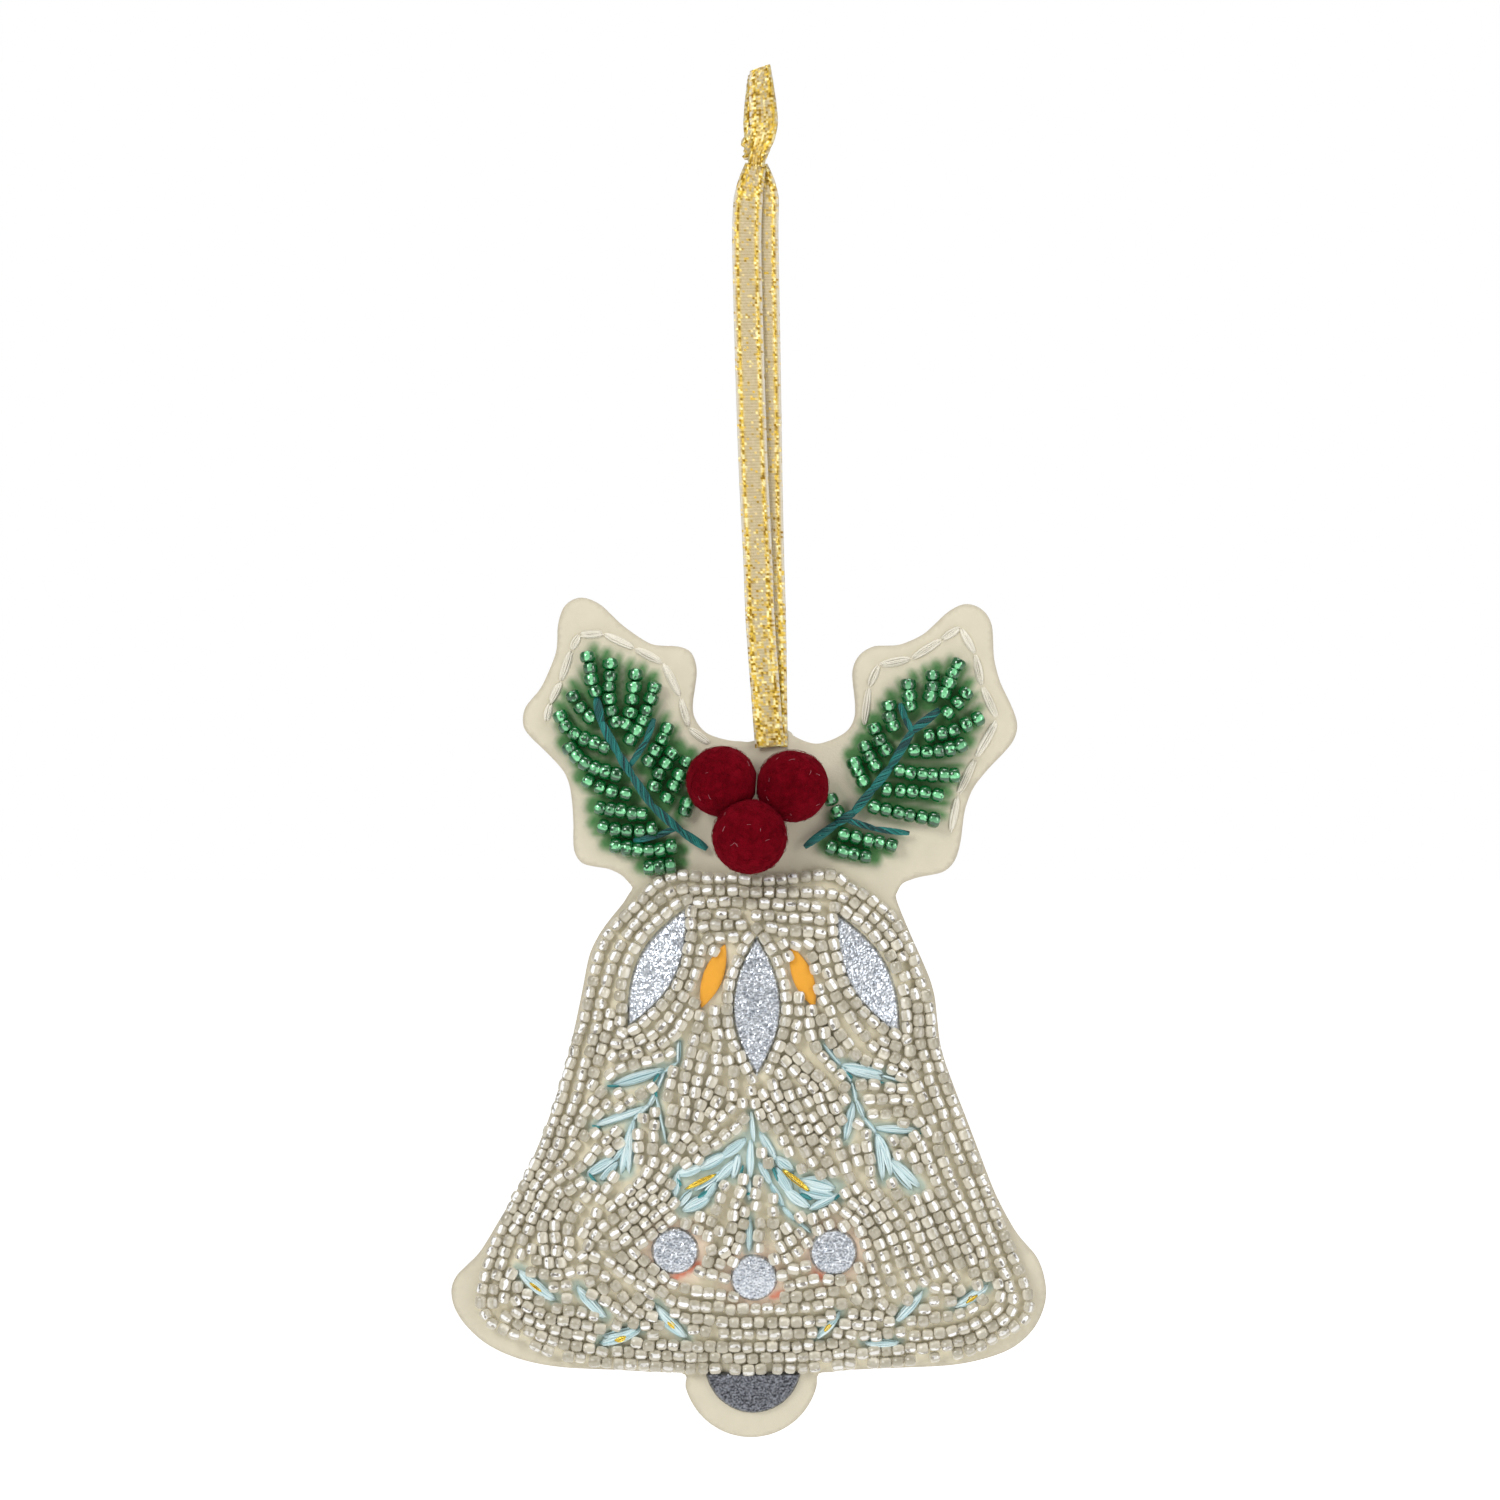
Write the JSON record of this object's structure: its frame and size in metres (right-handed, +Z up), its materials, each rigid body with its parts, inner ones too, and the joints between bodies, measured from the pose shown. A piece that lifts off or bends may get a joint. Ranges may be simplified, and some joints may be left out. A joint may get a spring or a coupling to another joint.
{
  "type": "christmas bell ornament",
  "caption": "Flat stuffed felt bell with holly leaves, felt balls and a clapper tab, beaded and embroidered by hand, on a knotted gilt ribbon loop.",
  "frame": {"origin": "the hang point, inside the ribbon's loop just under its knot, in the middle of the ribbon's thickness", "axes": "+Z up, against gravity; +Y from the beaded front to the plain back, so the front faces -Y; +X to the right as the front is seen"},
  "size_m": [0.1016, 0.0174, 0.2348],
  "materials": {
    "cream_felt": "matte pressed wool felt",
    "wadding": "soft white fibre filling",
    "red_wool_felt": "fuzzy felted wool",
    "silver_beads": "silver-lined clear glass",
    "green_beads": "silver-lined emerald glass",
    "teal_floss": "stranded cotton floss, soft sheen",
    "ivory_floss": "stranded cotton floss",
    "blue_floss": "satin-stitched rayon floss",
    "gold_thread": "metallic thread",
    "silver_glitter_cloth": "fine silver glitter on cloth",
    "dark_glitter_cloth": "dark silver glitter on cloth",
    "orange_felt": "thin dyed felt",
    "gilt_ribbon": "metallic woven ribbon with gilt stripes"
  },
  "bodies": {
    "ribbon_top": {"ribbon_knot": "gilt_ribbon", "ribbon_tail_back": "gilt_ribbon", "ribbon_tail_front": "gilt_ribbon"},
    "ribbon_strands": {"ribbon_back_strand": "gilt_ribbon", "ribbon_front_strand": "gilt_ribbon"},
    "ornament": {"back_panel": "cream_felt", "bell_filling": "wadding", "centre_beading": "silver_beads", "centre_sprig_left_petal": "blue_floss", "centre_sprig_right_petal": "blue_floss", "centre_sprig_stem": "blue_floss", "clapper_glitter": "dark_glitter_cloth", "crown_beading": "silver_beads", "front_panel": "cream_felt", "glitter_disc_centre": "silver_glitter_cloth", "glitter_disc_left": "silver_glitter_cloth", "glitter_disc_right": "silver_glitter_cloth", "glitter_marquise_centre": "silver_glitter_cloth", "glitter_marquise_left": "silver_glitter_cloth", "glitter_marquise_right": "silver_glitter_cloth", "gold_thread_hem_1": "gold_thread", "gold_thread_hem_3": "gold_thread", "gold_thread_hem_4": "gold_thread", "gold_thread_hem_5": "gold_thread", "gold_thread_hem_7": "gold_thread", "gold_thread_left_petal": "gold_thread", "gold_thread_right_petal": "gold_thread", "hem_beading": "silver_beads", "hem_leaf_1": "blue_floss", "hem_leaf_2": "blue_floss", "hem_leaf_3": "blue_floss", "hem_leaf_4": "blue_floss", "hem_leaf_5": "blue_floss", "hem_leaf_6": "blue_floss", "hem_leaf_7": "blue_floss", "hem_leaf_8": "blue_floss", "left_border_beading": "silver_beads", "left_leaf_bead_strands": "green_beads", "left_leaf_midrib": "teal_floss", "left_leaf_outline_stitches": "ivory_floss", "left_sprig": "blue_floss", "orange_leaf_left": "orange_felt", "orange_leaf_right": "orange_felt", "pompom_bottom": "red_wool_felt", "pompom_left": "red_wool_felt", "pompom_right": "red_wool_felt", "ribbon_back_foot": "gilt_ribbon", "ribbon_front_foot": "gilt_ribbon", "right_border_beading": "silver_beads", "right_leaf_bead_strands": "green_beads", "right_leaf_midrib": "teal_floss", "right_leaf_outline_stitches": "ivory_floss", "right_sprig": "blue_floss"}
  },
  "joints": [
    {"name": "ribbon_twist", "type": "hinge", "parent": "ribbon_top", "child": "ribbon_strands", "pos_m": [0, 0, 0], "axis": [0, 0, 1], "range_deg": [-180, 180], "stiffness_Nm_per_rad": 0.000025},
    {"name": "ornament_swing", "type": "hinge", "parent": "ribbon_strands", "child": "ornament", "pos_m": [0, 0, -0.094], "axis": [1, 0, 0], "range_deg": [-110, 115]}
  ]
}
